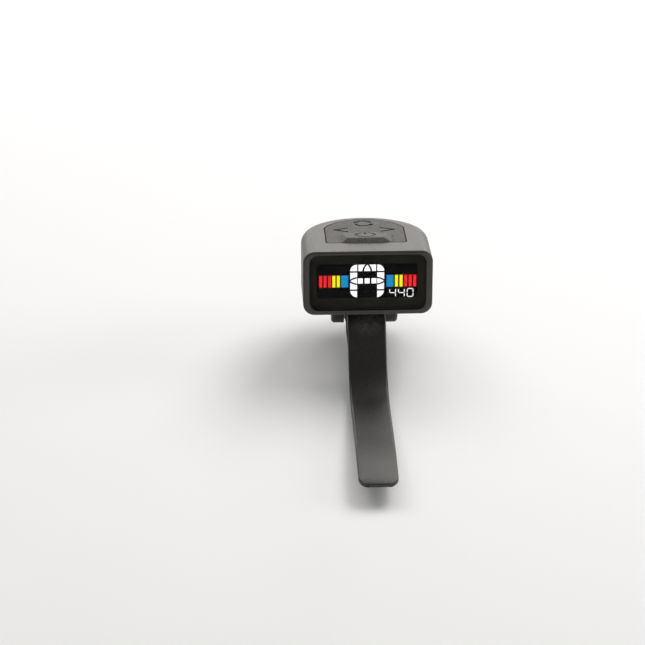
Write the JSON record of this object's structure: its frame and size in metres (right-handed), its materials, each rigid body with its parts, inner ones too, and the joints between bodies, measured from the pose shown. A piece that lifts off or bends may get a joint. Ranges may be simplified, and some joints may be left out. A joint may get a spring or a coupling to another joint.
{
  "type": "clip on instrument tuner",
  "caption": "Clip-on instrument tuner: a small D-shaped housing with a colour display that tilts and swivels on a hooked, springy strap gripping a rod.",
  "frame": {"origin": "middle of the gripped rod, half-way across the strap", "axes": "+X along the rod, to the right seen from the display side; +Y away from the display side; +Z away from the instrument"},
  "size_m": [0.0292, 0.0751, 0.0298],
  "materials": {
    "strap": "fine grained, satin",
    "liner": "matt soft rubber",
    "yoke_plastic": "satin moulded",
    "pin_steel": "turned",
    "washer_nylon": "natural",
    "housing": "satin charcoal with a fine spark texture",
    "bezel": "satin",
    "window": "polished smoked acrylic",
    "lcd": "dark glass",
    "light_guide": "frosted",
    "frame_plastic": "moulded",
    "flex": "polyimide film",
    "board": "solder mask",
    "chips": "moulded",
    "domes": "stamped",
    "keypad": "matt grained silicone rubber",
    "contact_metal": "nickel plated spring sheet",
    "piezo_brass": "rolled",
    "ceramic": "silvered ceramic",
    "leads": "insulated wire",
    "cell_steel": "drawn nickel-plated steel"
  },
  "bodies": {
    "clip": {"clip_body": "strap", "grip_liner": "liner"},
    "tongue": {"spring_tongue": "strap"},
    "yoke": {"swivel_yoke": "yoke_plastic", "hinge_pin": "pin_steel", "friction_washers": "washer_nylon", "swivel_washer": "pin_steel", "swivel_screw": "pin_steel"},
    "head": {"rear_shell": "housing", "front_bezel": "bezel", "display_lens": "window", "lcd_panel": "lcd", "backlight": "light_guide", "display_frame": "frame_plastic", "display_ribbon": "flex", "main_board": "board", "board_chips": "chips", "board_screws": "pin_steel", "key_domes": "domes", "keypad_web": "keypad", "contact_positive": "contact_metal", "contact_negative": "contact_metal", "piezo_disc": "piezo_brass", "piezo_ceramic": "ceramic", "piezo_leads": "leads"},
    "tray": {"battery_tray": "housing", "tray_strip": "contact_metal", "cell_can": "cell_steel", "cell_cap": "cell_steel"},
    "power_button": {"power_key": "keypad"},
    "flip_button": {"flip_key": "keypad"},
    "down_button": {"down_key": "keypad"},
    "up_button": {"up_key": "keypad"}
  },
  "joints": [
    {"name": "tongue_flex", "type": "hinge", "parent": "clip", "child": "tongue", "pos_m": [0, -0.00533, -0.00036], "axis": [1, 0, 0], "range_deg": [-4, 4], "stiffness_Nm_per_rad": 1.5},
    {"name": "tilt", "type": "hinge", "parent": "clip", "child": "yoke", "pos_m": [0, 0.00813, -0.0002], "axis": [-1, 0, 0], "range_deg": [-12, 75]},
    {"name": "swivel", "type": "hinge", "parent": "yoke", "child": "head", "pos_m": [0, 0.00928, 0.0041], "axis": [0, 0.2588, 0.9659], "range_deg": [-135, 135]},
    {"name": "tray_slide", "type": "slide", "parent": "head", "child": "tray", "axis": [0, 0.9659, -0.2588], "range_m": [0, 0.022]},
    {"name": "power_press", "type": "slide", "parent": "head", "child": "power_button", "axis": [0, -0.2588, -0.9659], "range_m": [0, 0.0004], "stiffness_N_per_m": 1000},
    {"name": "flip_press", "type": "slide", "parent": "head", "child": "flip_button", "axis": [0, -0.2588, -0.9659], "range_m": [0, 0.0004], "stiffness_N_per_m": 1000},
    {"name": "down_press", "type": "slide", "parent": "head", "child": "down_button", "axis": [0, -0.2588, -0.9659], "range_m": [0, 0.0004], "stiffness_N_per_m": 1000},
    {"name": "up_press", "type": "slide", "parent": "head", "child": "up_button", "axis": [0, -0.2588, -0.9659], "range_m": [0, 0.0004], "stiffness_N_per_m": 1000}
  ]
}
